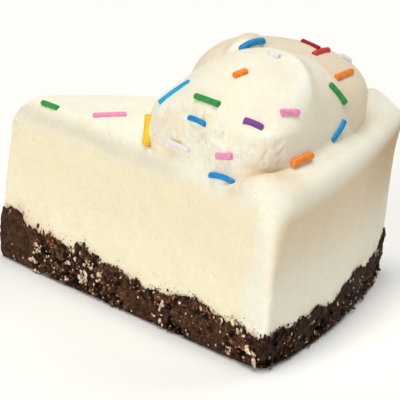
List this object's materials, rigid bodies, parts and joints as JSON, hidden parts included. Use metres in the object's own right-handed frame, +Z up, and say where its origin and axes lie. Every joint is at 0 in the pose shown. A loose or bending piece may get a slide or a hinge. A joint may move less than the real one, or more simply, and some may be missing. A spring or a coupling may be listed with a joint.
{
  "type": "ice cream cake slice",
  "caption": "Cut wedge of ice cream cake: crumb crust, pale ice cream, whipped coat and a piped swirl with sugar sprinkles, resting on its flat crust.",
  "frame": {"origin": "centre of the slice's bounding box, on the flat underside of the crust", "axes": "+X from the pointed tip towards the curved outer wall, +Y towards the far cut face, +Z up"},
  "size_m": [0.0954, 0.0871, 0.0693],
  "materials": {
    "crumb_crust": "rough dark cookie crumbs with small cream flecks",
    "ice_cream": "soft matt pale yellow ice cream, finely torn where it was cut",
    "whipped_cream": "soft matt off-white whipped cream",
    "sprinkle_green": "smooth green sugar sprinkle",
    "sprinkle_pink": "smooth pink sugar sprinkle",
    "sprinkle_amber": "smooth amber yellow sugar sprinkle",
    "sprinkle_light_blue": "smooth light blue sugar sprinkle",
    "sprinkle_blue": "smooth blue sugar sprinkle",
    "sprinkle_orange": "smooth orange sugar sprinkle",
    "sprinkle_white": "smooth white sugar sprinkle",
    "sprinkle_dark_red": "smooth dark red sugar sprinkle",
    "sprinkle_red": "smooth red sugar sprinkle",
    "sprinkle_purple": "smooth purple sugar sprinkle"
  },
  "bodies": {
    "root": {"crumb_crust": "crumb_crust", "ice_cream": "ice_cream", "whipped_coat": "whipped_cream", "whipped_swirl": "whipped_cream"}
  },
  "joints": []
}
